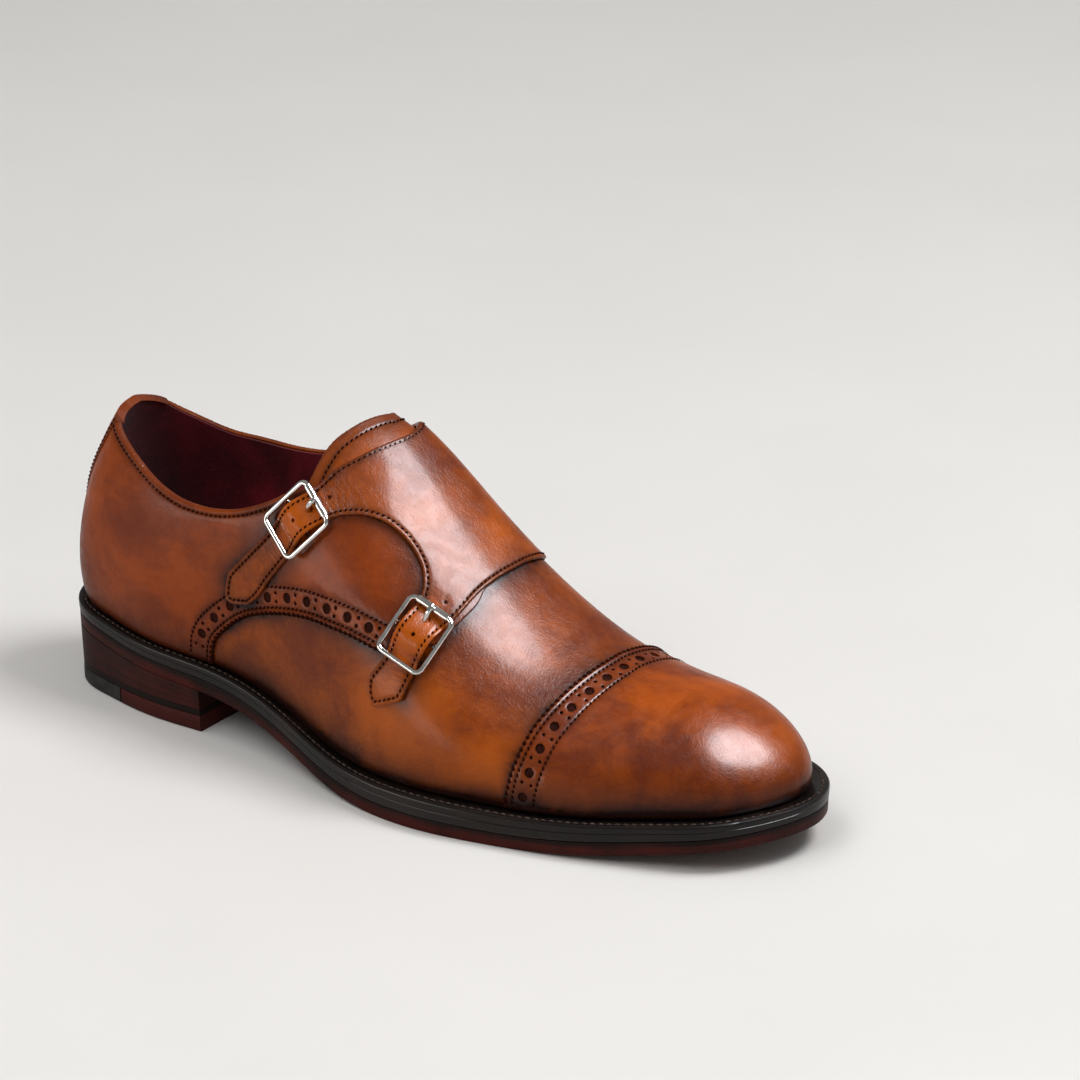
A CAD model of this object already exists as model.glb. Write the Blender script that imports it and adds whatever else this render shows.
import itertools
import math
import bpy
import numpy as np
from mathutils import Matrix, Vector, kdtree
from mathutils.geometry import delaunay_2d_cdt


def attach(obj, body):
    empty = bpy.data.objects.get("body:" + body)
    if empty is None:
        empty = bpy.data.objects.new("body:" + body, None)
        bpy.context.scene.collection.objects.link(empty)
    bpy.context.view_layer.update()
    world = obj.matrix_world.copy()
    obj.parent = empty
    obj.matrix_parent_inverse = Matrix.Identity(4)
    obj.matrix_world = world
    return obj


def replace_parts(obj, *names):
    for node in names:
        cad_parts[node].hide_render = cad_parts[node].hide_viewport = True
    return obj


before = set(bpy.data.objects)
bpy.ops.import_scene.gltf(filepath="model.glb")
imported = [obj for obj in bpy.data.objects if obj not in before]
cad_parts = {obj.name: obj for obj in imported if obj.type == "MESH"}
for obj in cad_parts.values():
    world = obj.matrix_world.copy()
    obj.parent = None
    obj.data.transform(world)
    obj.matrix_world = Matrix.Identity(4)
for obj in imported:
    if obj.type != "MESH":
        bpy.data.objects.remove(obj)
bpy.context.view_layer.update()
mm = 0.001
middle = (151.3, -4.6)  # where the frame's origin stands on the last's own sheet, mm
toe = 12                # ribs from heel to toe
toeEnd = 295            # where the feather line ends, mm
print("frame loaded:", len(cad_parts), "solids")

# the last: every leather piece lies on it
# one row per rib: place, outer and inner feather, spine, outer and inner swell, crown, wall
lastRows = [
    (4, 0, 0, 48, 5.5, 5.5, 1.9, 1.6), (10, 20, 18.5, 49, 5.5, 5.5, 1.9, 1.6),
    (27, 28, 27.5, 52, 5.5, 5.5, 1.9, 1.6), (52, 33, 30, 63, 4.5, 5, 1.9, 1.6),
    (82, 33.5, 26.5, 84, 3.5, 6, 2.2, 1.8), (115, 39.5, 26.5, 115, 1.5, 7, 2.2, 2),
    (149, 48.5, 31.5, 149, 0.5, 6, 2.2, 2), (180, 51.5, 37.5, 180, 1.2, 4, 2.2, 2),
    (209, 46.5, 41.5, 209, 1.8, 3, 2.1, 2), (237, 39.5, 39.5, 231, 2, 3, 2.1, 2.1),
    (264, 30, 33, 247, 1.8, 2.5, 2.3, 2.1), (283, 19.5, 24.5, 254, 1.6, 2, 2.4, 2.1),
    (295, 0, 5, 256, 1.6, 2, 2.4, 2.1),
]
ridgeHeight = [(-10, 126), (40, 130), (82, 132), (108, 126), (134, 116.5), (160, 94.5),
               (185, 73.5), (211, 57.5), (237, 50), (263, 48.5), (288, 44)]
ridgeShift = [(-10, 0), (60, 0), (108, 3), (155, 5), (206, 4), (258, 3), (300, 4)]
soleHeight = [(-10, 25.5), (40, 18.5), (78, 15.5), (108, 10.5), (139, 2.5), (165, 0),
              (185, 0), (211, 0), (237, 1.6), (268, 5.8), (293, 9.4), (314, 12)]
stackHeight = [(-10, 9), (60, 10.5), (112, 11.2), (165, 12.5), (206, 12.2), (310, 10)]
weltMargin = [(0, 4), (72, 4), (124, 5), (186, 6.5), (230, 7), (300, 7.6)]


def openCurve(pairs):
    # a smooth curve through the pairs, straight past its ends
    x, y = np.array(pairs, float).T
    n = len(x)
    h = np.diff(x)
    m = np.eye(n)
    right = np.zeros(n)
    for i in range(1, n - 1):
        m[i, i - 1:i + 2] = h[i - 1], 2 * (h[i - 1] + h[i]), h[i]
        right[i] = 6 * ((y[i + 1] - y[i]) / h[i] - (y[i] - y[i - 1]) / h[i - 1])
    bend = np.linalg.solve(m, right)

    def value(at):
        at = np.asarray(at, float)
        i = np.clip(np.searchsorted(x, at, side="left") - 1, 0, n - 2)
        a, b = x[i + 1] - at, at - x[i]
        return ((bend[i] * a ** 3 + bend[i + 1] * b ** 3) / (6 * h[i])
                + (y[i] / h[i] - bend[i] * h[i] / 6) * a
                + (y[i + 1] / h[i] - bend[i + 1] * h[i] / 6) * b)
    return value


def ringCurve(values):
    # a smooth curve through values that stand evenly round a ring
    v = np.array(values, float)
    n = len(v)
    m = 4 * np.eye(n) + np.roll(np.eye(n), 1, 1) + np.roll(np.eye(n), -1, 1)
    bend = np.linalg.solve(m, 6 * (np.roll(v, -1) - 2 * v + np.roll(v, 1)))

    def value(at):
        w = np.mod(at, n)
        i = np.floor(w).astype(int) % n
        u, j = w - np.floor(w), (i + 1) % n
        return (1 - u) * v[i] + u * v[j] - u * (1 - u) * ((2 - u) * bend[i] + (1 + u) * bend[j]) / 6
    return value


ringRows = [(r, -1) for r in lastRows] + [(r, 1) for r in lastRows[-2:0:-1]]
featherX, spineX, crownPower, wallPower = (ringCurve([r[k] for r, side in ringRows]) for k in (0, 3, 6, 7))
featherY = ringCurve([-r[1] if side < 0 and r[0] < toeEnd else r[2] for r, side in ringRows])
swell = ringCurve([r[4] if side < 0 else r[5] for r, side in ringRows])
ridgeZ, ridgeY, soleCurve, stackZ = map(openCurve, (ridgeHeight, ridgeShift, soleHeight, stackHeight))


def soleZ(x):
    low = soleCurve(x)
    return np.where((x > 150) & (x < 222), np.maximum(low, 0), low)


def seatZ(x):
    return soleZ(x) + stackZ(x)


def smooth(a, b, x):
    u = np.clip((x - a) / (b - a), 0, 1)
    return u * u * (3 - 2 * u)


def hump(x, width):
    return np.exp(-(x / width) ** 2)


def pairOf(a, b):
    return [np.array(v, float) for v in np.broadcast_arrays(a, b)]


def unit(v):
    # the same way, one long
    return v / (np.linalg.norm(v, axis=-1, keepdims=True) + 1e-12)


def folded(t, psi):
    # ribs past the heel or the toe are the other side's ribs
    t, psi = pairOf(t, psi)
    psi = np.where((t < 0) | (t > toe), -psi, psi)
    t = np.where(t < 0, -t, np.where(t > toe, 2 * toe - t, t))
    return t, psi, np.where(psi <= 0, t, 2 * toe - t)


def lastPoint(t, psi):
    t, psi, ring = folded(t, psi)
    rise = np.clip(1 - np.abs(psi), 0, 1)
    x0, y0, cx = featherX(ring), featherY(ring), spineX(ring)
    cy = ridgeY(cx)
    spread = np.cos(np.pi * rise / 2).clip(0) ** (2 / crownPower(ring))
    lift = np.sin(np.pi * rise / 2).clip(0) ** (2 / wallPower(ring))
    out = spread + 6.75 * rise * (1 - rise) ** 2 * swell(ring) / np.hypot(x0 - cx, y0 - cy)
    px, py = cx + (x0 - cx) * out, cy + (y0 - cy) * out
    base = seatZ(x0)
    return np.stack([px - middle[0], py - middle[1], base + (ridgeZ(px) - base) * lift], -1)


def lastSlopes(t, psi):
    # how a point moves with t and with psi, and the way out of the leather
    t, psi = pairOf(t, psi)
    t = np.where((np.abs(psi) < 0.05) & (t > 11.6), 11.6, t)
    e = 0.004
    low, high = np.maximum(psi - e, -1), np.minimum(psi + e, 1)
    slopeT = (lastPoint(t + e, psi) - lastPoint(t - e, psi)) / (2 * e)
    slopePsi = (lastPoint(t, high) - lastPoint(t, low)) / (high - low)[..., None]
    return slopeT, slopePsi, unit(np.cross(slopeT, slopePsi))


def onLast(line, lift):
    t, psi = line.T
    return lastPoint(t, psi) + lastSlopes(t, psi)[2] * np.reshape(lift, (-1, 1))


def dot(a, b):
    return (a * b).sum(-1)


def moved(line, move):
    # t, psi points after a small move along the leather, in mm
    slopeT, slopePsi, normal = lastSlopes(*line.T)
    e, f, g = dot(slopeT, slopeT), dot(slopeT, slopePsi), dot(slopePsi, slopePsi)
    a, b = dot(move, slopeT), dot(move, slopePsi)
    det = e * g - f * f
    new = line + np.stack([(a * g - b * f) / det, (b * e - a * f) / det], 1)
    new[:, 1] = np.clip(new[:, 1], -1, 1)
    return new


def beside(line, distance, closed=False):
    # the line drawn again to the left of itself
    p = lastPoint(*line.T)
    ahead = np.roll(p, -1, 0) - np.roll(p, 1, 0) if closed else np.gradient(p, axis=0)
    return moved(line, unit(np.cross(lastSlopes(*line.T)[2], ahead)) * distance)


def lengthAlong(p):
    return np.r_[0, np.cumsum(np.linalg.norm(np.diff(p, axis=0), axis=1))]


def evenly(line, step, shift=0.0):
    # the same line with a point every step mm
    for _ in range(2):
        far = lengthAlong(lastPoint(*line.T))
        n = max(1, round((far[-1] - shift) / step))
        at = np.linspace(shift, far[-1], n + 1)
        line = np.stack([np.interp(at, far, line[:, k]) for k in (0, 1)], 1)
    return line


def blend(a, b, k, low, high):
    return a + (b - a) * (k - low) / (high - low)


def drawn(points, step=0.9):
    # a flowing line through a few t, psi points
    p = np.array(points, float)
    if len(p) == 2:
        u = np.linspace(0, 1, 200)[:, None]
        return evenly(p[0] + (p[1] - p[0]) * u, step)
    p = np.vstack([2 * p[0] - p[1], p, 2 * p[-1] - p[-2]])
    gaps = np.linalg.norm(np.diff(lastPoint(*p.T), axis=0), axis=1)
    knots = np.r_[0, np.cumsum(np.sqrt(gaps) + 1e-6)]
    out = []
    for i in range(1, len(p) - 2):
        at, spots = knots[i - 1:i + 3], p[i - 1:i + 3]
        for k in np.linspace(at[1], at[2], 24, endpoint=False):
            first = [blend(spots[j], spots[j + 1], k, at[j], at[j + 1]) for j in range(3)]
            second = [blend(first[j], first[j + 1], k, at[j], at[j + 2]) for j in range(2)]
            out.append(blend(*second, k, at[1], at[2]))
    out.append(p[-2])
    return evenly(np.array(out), step)


# the last laid flat, as a pattern cutter tapes it
halfRing = np.arange(0, 2 * toe, 0.5)[:, None]
halfT, side = np.minimum(halfRing, 2 * toe - halfRing), np.where(halfRing <= toe, -1.0, 1.0)
ribs = lastPoint(halfT, side * np.linspace(0, 1, 60))
ribLength = np.linalg.norm(np.diff(ribs, axis=1), axis=2).sum(1)
girth = ringCurve(ribLength)


def flat(line):
    t, psi, ring = folded(*line.T)
    cx = spineX(ring)
    cy = ridgeY(cx)
    way = unit(np.stack([featherX(ring) - cx, featherY(ring) - cy], 1))
    return np.stack([cx, cy], 1) + way * (np.abs(psi) * girth(2 * ring))[:, None]


def inside(points, loop):
    x, y = points[:, :1], points[:, 1:]
    hit = np.zeros(len(points), bool)
    for part in np.array_split(np.arange(len(loop)), max(1, len(loop) // 200)):
        a, b = loop[part], loop[(part + 1) % len(loop)]
        up = (a[:, 1] > y) != (b[:, 1] > y)
        rise = np.where(np.abs(b[:, 1] - a[:, 1]) < 1e-12, 1e-12, b[:, 1] - a[:, 1])
        cross = x < a[:, 0] + (y - a[:, 1]) * (b[:, 0] - a[:, 0]) / rise
        hit ^= (up & cross).sum(1) % 2 == 1
    return hit


def near(points, targets):
    # distance from each point to the nearest target, both in mm
    if len(targets) == 0:
        return np.full(len(points), 99.0)
    tree = kdtree.KDTree(len(targets))
    for i, q in enumerate(targets):
        tree.insert(q, i)
    tree.balance()
    return np.array([tree.find(q)[2] for q in points])


def dense(line):
    return lastPoint(*evenly(line, 0.35).T)


# building meshes
def makePiece(name, points, faces, material, values=None, crease=50):
    mesh = bpy.data.meshes.new(name)
    mesh.from_pydata((np.asarray(points) * mm).tolist(), [], [list(map(int, f)) for f in faces])
    for key, value in (values or {}).items():
        mesh.attributes.new(key, "FLOAT", "POINT").data.foreach_set("value", np.asarray(value, np.float32))
    mesh.validate()
    mesh.shade_smooth()
    mesh.set_sharp_from_angle(angle=math.radians(crease))
    mesh.materials.append(material)
    piece = bpy.data.objects.new(name, mesh)
    bpy.context.scene.collection.objects.link(piece)
    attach(piece, "root")
    return piece


def closeSkins(faces, n):
    # the top skin, the bottom skin below it, and the wall between them at each free edge
    out = [tuple(f) for f in faces] + [(a + n, c + n, b + n) for a, b, c in faces]
    edges = set()
    for a, b, c in faces:
        edges.update(((a, b), (b, c), (c, a)))
    for p, q in edges:
        if (q, p) not in edges:
            out.append((q, p, p + n, q + n))
    return out


panelCut = {
    "step": 0.9, "cutoutStep": 1.2, "seamStep": 0.8,             # mm between points laid along a line
    "edgeRows": (0.1, 0.25, 0.45, 0.8, 1.2, 1.7, 2.3, 3.1),      # mm inside the edge
    "seamRows": (0, 0.4, -0.4, 0.9, -0.9), "seamGap": 0.3,
    "holeRows": ((0, 0), (0.2, 0), (0.55, 0.3)),                 # mm outside a hole, and the gap to keep there
    "netGap": 1.1, "cell": 1.2,
}


def spotsAlong(lines):
    return np.vstack([np.zeros((0, 3)), *(dense(line) for line in lines)])


def joinedRuns(runs, step):
    return np.vstack([evenly(run, step)[:-1] for run in runs])


def net(stepT, stepPsi):
    # points all over the last, fewer where the ribs run together
    rows = []
    t = np.arange(stepT / 2, toe, stepT)
    for psi in np.arange(-1 + stepPsi / 2, 1, stepPsi):
        wide = np.linalg.norm(lastSlopes(t, psi)[0], axis=1) * stepT
        skip = 2 ** np.floor(np.log2(np.maximum(1, 1.3 / np.maximum(wide, 0.02)))).astype(int)
        ok = np.arange(len(t)) % skip == 0
        rows.append(np.stack([t[ok], np.full(int(ok.sum()), psi)], 1))
    return np.vstack(rows)


def thinned(points, spots, gap, count):
    # leaves out a point that comes too close to one laid before it
    solid = lastPoint(*points.T)
    cells = [tuple(c) for c in np.floor(solid / panelCut["cell"]).astype(int).tolist()]
    solid, seen = solid.tolist(), {}
    low, high = spots[:count].min(0) - 1, spots[:count].max(0) + 1
    keep = ((spots > low) & (spots < high)).all(1)
    keep[:count] = True
    around = list(itertools.product((-1, 0, 1), repeat=3))
    for i in np.flatnonzero(keep):
        x, y, z = cells[i]
        if gap[i] > 0 and any(math.dist(solid[i], q) < gap[i] for dx, dy, dz in around
                              for q in seen.get((x + dx, y + dy, z + dz), ())):
            keep[i] = False
        else:
            seen.setdefault(cells[i], []).append(solid[i])
    return keep


def valueOf(lift, *at):
    return lift(*at) if callable(lift) else lift


class Panel:
    # a leather piece: its outline, lines sewn on it, and holes punched in it
    def __init__(self, outline, seams=(), holes=(), shadeLines=(), cutouts=(), steps=(0.06, 0.02),
                 rows=panelCut["edgeRows"]):
        loop = joinedRuns(outline, panelCut["step"])
        a, b = flat(loop), np.roll(flat(loop), -1, 0)
        if (a[:, 0] * b[:, 1] - b[:, 0] * a[:, 1]).sum() < 0:
            loop = loop[::-1]
        cuts = [joinedRuns(runs, panelCut["cutoutStep"]) for runs in cutouts]
        edge = np.vstack([spotsAlong(outline), *(lastPoint(*line.T) for line in cuts)])
        self.holes = [(lastPoint(t, psi), radius) for t, psi, radius in holes]
        lines, gaps, loops = [], [], []

        def lay(line, gap, closed=False):
            if closed:
                loops.append(sum(map(len, lines)) + np.arange(len(line)))
            lines.append(line)
            gaps.append(np.full(len(line), float(gap)))

        for line in (loop, *cuts):
            lay(line, 0, True)
        for t, psi, radius in holes:
            sides = 14 if radius > 0.9 else 8
            turn = np.linspace(0, 2 * np.pi, sides, endpoint=False)[:, None]
            centre = np.tile([[t, psi]], (sides, 1)).astype(float)
            slopeT, slopePsi, normal = lastSlopes(*centre.T)
            ring = np.cos(turn) * unit(slopeT) + np.sin(turn) * np.cross(normal, unit(slopeT))
            for far, gap in panelCut["holeRows"]:
                lay(moved(centre, ring * (radius + far)), gap, far == 0)
        count = sum(map(len, lines))  # the points laid so far all stay
        for seam in seams:
            for far in panelCut["seamRows"]:
                lay(beside(evenly(seam, panelCut["seamStep"]), far), panelCut["seamGap"])
        for far in rows:
            row = beside(loop, far, closed=True)
            clear = near(lastPoint(*row.T), edge) > 0.9 * far
            lay(row[clear], 0 if far < 0.5 else 0.25 if far < 1 else 0.4)
        lay(net(*steps), panelCut["netGap"])

        points, gap = np.vstack(lines), np.concatenate(gaps)
        spots = flat(points)
        outer, *gone = (spots[index] for index in loops[:1 + len(cuts)])

        def covered(at):
            return inside(at, outer) & ~np.any([inside(at, line) for line in gone] or [False], axis=0)

        keep = thinned(points, spots, gap, count) & covered(spots)
        keep &= self.fromHoles(lastPoint(*points.T)) >= 0.15
        keep[:count] = True
        points, spots, number = points[keep], spots[keep], np.cumsum(keep) - 1
        edges = [(int(number[i]), int(number[j])) for index in loops for i, j in zip(index, np.roll(index, -1))]
        cdt = delaunay_2d_cdt([Vector(s) for s in spots], edges, [], 0, 1e-6)
        source = [o[0] if o else -1 for o in cdt[3]]
        faces = np.array([[source[k] for k in f] for f in cdt[2]])
        faces = faces[(faces >= 0).all(1)]
        a, b, c = (spots[faces[:, k]] for k in range(3))
        turned = (b - a)[:, 0] * (c - a)[:, 1] - (b - a)[:, 1] * (c - a)[:, 0]
        good = covered(spots[faces].mean(1)) & (np.abs(turned) > 1e-7)
        good &= self.fromHoles(lastPoint(*points.T)[faces].mean(1), 0.93) > 0
        faces = np.where(turned[:, None] < 0, faces[:, ::-1], faces)[good]
        used, faces = np.unique(faces, return_inverse=True)
        self.line, self.faces = points[used], faces.reshape(-1, 3)
        solid = lastPoint(*self.line.T)
        self.hole = self.fromHoles(solid)
        self.rim, self.seam, self.shade = (near(solid, targets) for targets in
                                           (edge, spotsAlong(seams), spotsAlong(shadeLines)))

    def fromHoles(self, solid, share=1.0):
        gaps = [np.linalg.norm(solid - centre, axis=1) - share * radius for centre, radius in self.holes]
        return np.min([np.full(len(solid), 99.0), *gaps], axis=0)

    def build(self, name, material, top, bottom):
        t, psi = self.line.T
        upper = onLast(self.line, valueOf(top, t, psi, self.rim, self.seam, self.hole))
        lower = onLast(self.line, valueOf(bottom, t, psi))
        foot = (1 - np.abs(psi)) * girth(2 * folded(t, psi)[2])
        rim = self.rim + 0.6 * nearCollar(t, psi)  # the collar is folded, so it has no dark cut edge
        values = {"rim": rim, "seam": self.seam, "shade": self.shade, "foot": foot, "hole": self.hole,
                  "rub": rubbed(t, psi), **strapPlace(t, psi)}
        values = {key: np.r_[v, v] for key, v in values.items()}
        faces = closeSkins(self.faces.tolist(), len(t))
        piece = makePiece(name, np.vstack([upper, lower]), faces, material, values)
        print(name, len(faces), "faces")
        return piece


# shader node groups: made once, placed in each material
class Wiring:
    # short hands for laying nodes in a tree
    def __init__(self, tree):
        self.tree = tree

    def put(self, kind, inputs=(), **settings):
        node = self.tree.nodes.new(kind)
        for key, value in settings.items():
            setattr(node, key, value)
        for key, value in dict(inputs).items():
            self.feed(node.inputs[key], value)
        return node

    def link(self, source, target):
        self.tree.links.new(source, target)

    def feed(self, socket, value):
        if isinstance(value, bpy.types.NodeSocket):
            self.link(value, socket)
        else:
            socket.default_value = (*value, 1) if socket.type == "RGBA" else value

    def math(self, operation, a, b=0.0, clamp=False):
        return self.put("ShaderNodeMath", {0: a, 1: b}, operation=operation, use_clamp=clamp).outputs[0]

    def plus(self, a, b):
        return self.math("ADD", a, b)

    def minus(self, a, b):
        return self.math("SUBTRACT", a, b)

    def times(self, a, b):
        return self.math("MULTIPLY", a, b)

    def darker(self, distance, perMm):
        # 1 at a line, less away from it
        return self.math("POWER", math.e, self.times(self.times(distance, perMm), -1.0))

    def mix(self, amount, a, b, blend="MIX"):
        node = self.put("ShaderNodeMix", data_type="RGBA", blend_type=blend)
        for key, value in (("Factor", amount), (6, a), (7, b)):
            self.feed(node.inputs[key], value)
        return node.outputs[2]

    def span(self, value, fromLow, fromHigh, low=0.0, high=1.0):
        inputs = dict(enumerate((value, fromLow, fromHigh, low, high)))
        return self.put("ShaderNodeMapRange", inputs, interpolation_type="SMOOTHSTEP").outputs[0]

    def attribute(self, name):
        return self.put("ShaderNodeAttribute", attribute_name=name).outputs["Fac"]

    def coords(self):
        return self.put("ShaderNodeTexCoord").outputs["Object"]

    def place(self, scale=(1, 1, 1), turn=(0, 0, 0)):
        inputs = {"Vector": self.coords(), "Scale": scale, "Rotation": turn}
        return self.put("ShaderNodeMapping", inputs).outputs["Vector"]

    def joined(self, *parts):
        return self.put("ShaderNodeCombineXYZ", enumerate(parts)).outputs[0]

    def noise(self, place, scale, detail=3.0, rough=0.5, bent=0.0):
        inputs = {"Vector": place, "Scale": scale, "Detail": detail, "Roughness": rough, "Distortion": bent}
        return self.put("ShaderNodeTexNoise", inputs).outputs["Fac"]

    def ridges(self, noise):
        # 0 along winding lines, more away from them
        return self.math("ABSOLUTE", self.minus(noise, 0.5))


def nodeGroup(name, inputs, outputs):
    # gives its wiring, its inputs and its results, by name
    group = bpy.data.node_groups.new(name, "ShaderNodeTree")
    for label, value in inputs.items():
        kind = "NodeSocketColor" if isinstance(value, tuple) else "NodeSocketFloat"
        socket = group.interface.new_socket(name=label, in_out="INPUT", socket_type=kind)
        socket.default_value = (*value, 1) if isinstance(value, tuple) else value
    for label in outputs:
        kind = "NodeSocketColor" if label == "Color" else "NodeSocketFloat"
        group.interface.new_socket(name=label, in_out="OUTPUT", socket_type=kind)
    return Wiring(group), group.nodes.new("NodeGroupInput").outputs, group.nodes.new("NodeGroupOutput").inputs


def makePatina():
    # hand-burnished colour: cloudy dye, darker near edges, seams and the sole
    w, given, result = nodeGroup("patina", {
        "Light": (0.4, 0.14, 0.04), "Mid": (0.2, 0.06, 0.02), "Dark": (0.05, 0.012, 0.006), "Cloud Size": 26.0,
        "Rim": 99.0, "Seam": 99.0, "Shade": 99.0, "Foot": 99.0, "Hole": 99.0, "Rim Reach": 3.0, "Burnish": 0.6,
        "Rub": 0.0, "Foot Reach": 9.0}, ("Color", "Mask"))
    clouds = w.noise(w.place(), given["Cloud Size"], 4, 0.55, 0.6)
    brushed = w.noise(w.place((0.5, 1.4, 1.1), (0.2, 0.5, 0.3)), 55, 3, 0.6, 0.8)
    speckle = w.noise(w.place(), 420, 3, 0.6)
    tone = w.plus(w.times(clouds, 0.75), w.times(brushed, 0.25))
    color = w.mix(w.span(tone, 0.30, 0.66), given["Mid"], given["Light"])
    color = w.mix(w.times(w.span(brushed, 0.52, 0.72), 0.35), color, given["Mid"])
    vein = w.ridges(w.noise(w.place((1.0, 1.3, 1.1)), 70, 5, 0.62, 1.4))
    vein = w.times(w.span(vein, 0.0, 0.06, 0.34, 0.0), w.span(clouds, 0.42, 0.6, 1.0, 0.15))
    color = w.mix(vein, color, given["Mid"])
    dark = w.span(given["Rim"], 0.1, 0.45, 0.62, 0.0)  # the cut edge itself
    for line, perMm, most in (("Rim", w.math("DIVIDE", 1.0, given["Rim Reach"]), 0.6), ("Seam", 0.55, 0.7),
                              ("Hole", 2.6, 0.6), ("Shade", 0.24, 1.1)):
        dark = w.math("MAXIMUM", dark, w.times(w.darker(given[line], perMm), most))
    dark = w.times(w.times(dark, w.span(brushed, 0.3, 0.7, 0.6, 1.25)), given["Burnish"])
    foot = w.darker(given["Foot"], w.math("DIVIDE", 1.0, given["Foot Reach"]))
    foot = w.times(w.times(foot, 1.2), w.span(brushed, 0.3, 0.7, 0.85, 1.1))
    color = w.mix(w.math("MAXIMUM", dark, foot, clamp=True), color, given["Dark"])
    color = w.mix(w.times(given["Rub"], 0.85), color, given["Light"])
    color = w.mix(0.12, color, w.mix(speckle, (0.2, 0.2, 0.2), (0.8, 0.8, 0.8)), "SOFT_LIGHT")
    w.link(color, result["Color"])
    w.link(tone, result["Mask"])
    return w.tree


def makeGrain():
    # fine calf grain with pores, and long soft creases
    w, given, result = nodeGroup("calfGrain", {"Grain Size": 1500.0, "Grain": 1.0, "Creases": 0.3,
                                               "Crease Size": 90.0}, ("Height", "Mask"))
    place = w.place()
    cell = w.put("ShaderNodeTexVoronoi", {"Vector": place, "Scale": given["Grain Size"]}).outputs["Distance"]
    broad = w.noise(place, 260, 2, 0.5)
    grain = w.plus(w.times(cell, 0.8), w.times(w.noise(place, 2600, 2, 0.5), 0.4))
    grain = w.times(grain, w.span(broad, 0.35, 0.65, 0.35, 1.0))
    fold = w.noise(w.place((0.35, 1.0, 0.6), (0, 0.6, 0.4)), given["Crease Size"], 3, 0.55, 1.2)
    fold = w.span(w.ridges(fold), 0.0, 0.05)
    w.link(w.plus(w.times(grain, given["Grain"]), w.times(fold, given["Creases"])), result["Height"])
    w.link(broad, result["Mask"])
    return w.tree


def makeWrinkles():
    # fine folds that run across a strap, from places measured along and across it in mm
    w, given, result = nodeGroup("strapWrinkles", {"Along": 0.0, "Across": 0.0, "Worn": 0.0},
                                 ("Height", "Mask"))
    place = w.joined(w.times(given["Along"], 0.62), w.times(given["Across"], 0.13))
    fold = w.span(w.ridges(w.noise(place, 1.0, 4, 0.6, 0.7)), 0.0, 0.09)
    w.link(w.times(fold, given["Worn"]), result["Height"])
    w.link(w.times(w.minus(1.0, fold), given["Worn"]), result["Mask"])
    return w.tree


def makeStreaks():
    # lines left along a trimmed and waxed leather edge
    w, given, result = nodeGroup("edgeStreaks", {
        "Dark": (0.01, 0.008, 0.007), "Light": (0.06, 0.015, 0.012), "Level": 0.0, "Balance": 0.5, "Fine": 9.0,
        "Dark Below": 0.0}, ("Color", "Height"))
    x, y, z = w.put("ShaderNodeSeparateXYZ", {0: w.coords()}).outputs
    streak = w.noise(w.joined(w.times(x, 22.0), w.times(y, 22.0), w.times(given["Level"], given["Fine"])),
                     1.0, 4, 0.6)
    amount = w.plus(w.times(streak, 0.6), w.times(w.noise(w.place(), 45, 3, 0.5), 0.4))
    amount = w.minus(amount, w.span(given["Level"], 2.0, 5.0, 0.0, 0.15))
    amount = w.minus(amount, w.times(w.math("LESS_THAN", z, given["Dark Below"]), 0.3))
    share = w.span(amount, w.minus(given["Balance"], 0.1), w.plus(given["Balance"], 0.14))
    w.link(w.mix(share, given["Dark"], given["Light"]), result["Color"])
    w.link(streak, result["Height"])
    return w.tree


patina, calfGrain, strapWrinkles, edgeStreaks = makePatina(), makeGrain(), makeWrinkles(), makeStreaks()


def newMaterial(name, rough=0.5, metal=0.0, coat=0.0, coatRough=0.1, sheen=0.0, specular=0.5):
    material = bpy.data.materials.new(name)
    material.use_nodes = True
    w = Wiring(material.node_tree)
    shader = material.node_tree.nodes["Principled BSDF"]
    for key, value in {"Roughness": rough, "Metallic": metal, "Coat Weight": coat, "Coat Roughness": coatRough,
                       "Sheen Weight": sheen, "Specular IOR Level": specular}.items():
        shader.inputs[key].default_value = value
    return material, w, shader


def placeGroup(w, group, values):
    return w.put("ShaderNodeGroup", values, node_tree=group).outputs


def bump(w, shader, height, strength, distance):
    node = w.put("ShaderNodeBump", {"Strength": strength, "Distance": distance, "Height": height})
    w.link(node.outputs[0], shader.inputs["Normal"])


def leatherMaterial(name, look):
    material, w, shader = newMaterial(name, look["rough"], coat=look["coat"], coatRough=look["coatRough"],
                                      specular=look["specular"])
    colour = placeGroup(w, patina, {
        "Light": look["light"], "Mid": look["mid"], "Dark": look["dark"], "Cloud Size": look["cloudSize"],
        "Rim Reach": look["rimReach"], "Burnish": look["burnish"], "Foot Reach": look["footReach"],
        **{key: w.attribute(key.lower()) for key in ("Rim", "Seam", "Shade", "Foot", "Hole", "Rub")}})["Color"]
    folds = placeGroup(w, strapWrinkles, {"Along": w.attribute("along"), "Across": w.attribute("across"),
                                          "Worn": w.times(w.attribute("worn"), look["wrinkles"])})
    w.link(w.mix(w.times(folds["Mask"], 0.3), colour, look["dark"]), shader.inputs["Base Color"])
    grain = placeGroup(w, calfGrain, {"Grain Size": look["grainSize"], "Grain": look["grain"],
                                      "Creases": look["creases"], "Crease Size": look["creaseSize"]})
    rough = w.span(grain["Mask"], 0.3, 0.7, look["rough"] - 0.05, look["rough"] + 0.07)
    w.link(w.minus(rough, w.times(w.attribute("rub"), 0.08)), shader.inputs["Roughness"])
    bump(w, shader, w.plus(grain["Height"], w.times(folds["Height"], 1.3)), look["bump"], 0.0002)
    return material


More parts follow.
